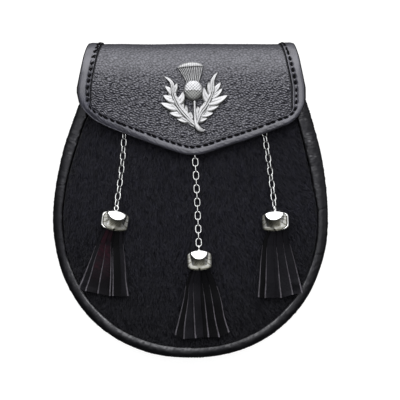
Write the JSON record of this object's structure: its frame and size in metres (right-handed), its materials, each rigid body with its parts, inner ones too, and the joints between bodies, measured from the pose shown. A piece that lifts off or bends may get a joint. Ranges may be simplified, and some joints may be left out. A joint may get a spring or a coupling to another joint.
{
  "type": "sporran pouch",
  "caption": "Leather kilt pouch with a black fur front, a pointed grained flap with a stitched border, a cast thistle badge and chain-hung leather tassels.",
  "frame": {"origin": "on the surface it lies on, under the middle of its box", "axes": "+X is right and +Y up to the flap's fold as the front is looked at, and +Z comes out of the front"},
  "size_m": [0.1897, 0.2165, 0.0467],
  "materials": {
    "fur": "hide with short black fur",
    "smooth_leather": "smooth black, semi-gloss",
    "grained_leather": "pebble grain, black",
    "tassel_leather": "smooth black strips with pale cut edges",
    "silver_plate": "polished silver plate",
    "cast_badge": "cast, polished, dark in its hollows"
  },
  "bodies": {
    "root": {"front_panel": "fur", "front_rim": "smooth_leather", "gusset": "smooth_leather", "back_rim": "smooth_leather", "back_panel": "smooth_leather", "flap": "grained_leather", "flap_border": "smooth_leather", "flap_stud": "silver_plate", "thistle_badge": "cast_badge", "strap_loop_left": "smooth_leather", "strap_loop_right": "smooth_leather", "tassel_cap_left": "silver_plate", "tassel_cap_centre": "silver_plate", "tassel_cap_right": "silver_plate", "tassel_left": "tassel_leather", "tassel_centre": "tassel_leather", "tassel_right": "tassel_leather", "chain_staple_left": "silver_plate", "chain_staple_centre": "silver_plate", "chain_staple_right": "silver_plate", "chain_left_01": "silver_plate", "chain_left_02": "silver_plate", "chain_left_03": "silver_plate", "chain_left_04": "silver_plate", "chain_left_05": "silver_plate", "chain_left_06": "silver_plate", "chain_left_07": "silver_plate", "chain_left_08": "silver_plate", "chain_left_09": "silver_plate", "chain_left_10": "silver_plate", "chain_left_11": "silver_plate", "chain_left_12": "silver_plate", "chain_left_13": "silver_plate", "chain_centre_01": "silver_plate", "chain_centre_02": "silver_plate", "chain_centre_03": "silver_plate", "chain_centre_04": "silver_plate", "chain_centre_05": "silver_plate", "chain_centre_06": "silver_plate", "chain_centre_07": "silver_plate", "chain_centre_08": "silver_plate", "chain_centre_09": "silver_plate", "chain_centre_10": "silver_plate", "chain_centre_11": "silver_plate", "chain_centre_12": "silver_plate", "chain_centre_13": "silver_plate", "chain_centre_14": "silver_plate", "chain_right_01": "silver_plate", "chain_right_02": "silver_plate", "chain_right_03": "silver_plate", "chain_right_04": "silver_plate", "chain_right_05": "silver_plate", "chain_right_06": "silver_plate", "chain_right_07": "silver_plate", "chain_right_08": "silver_plate", "chain_right_09": "silver_plate", "chain_right_10": "silver_plate", "chain_right_11": "silver_plate", "chain_right_12": "silver_plate", "chain_right_13": "silver_plate"}
  },
  "joints": []
}
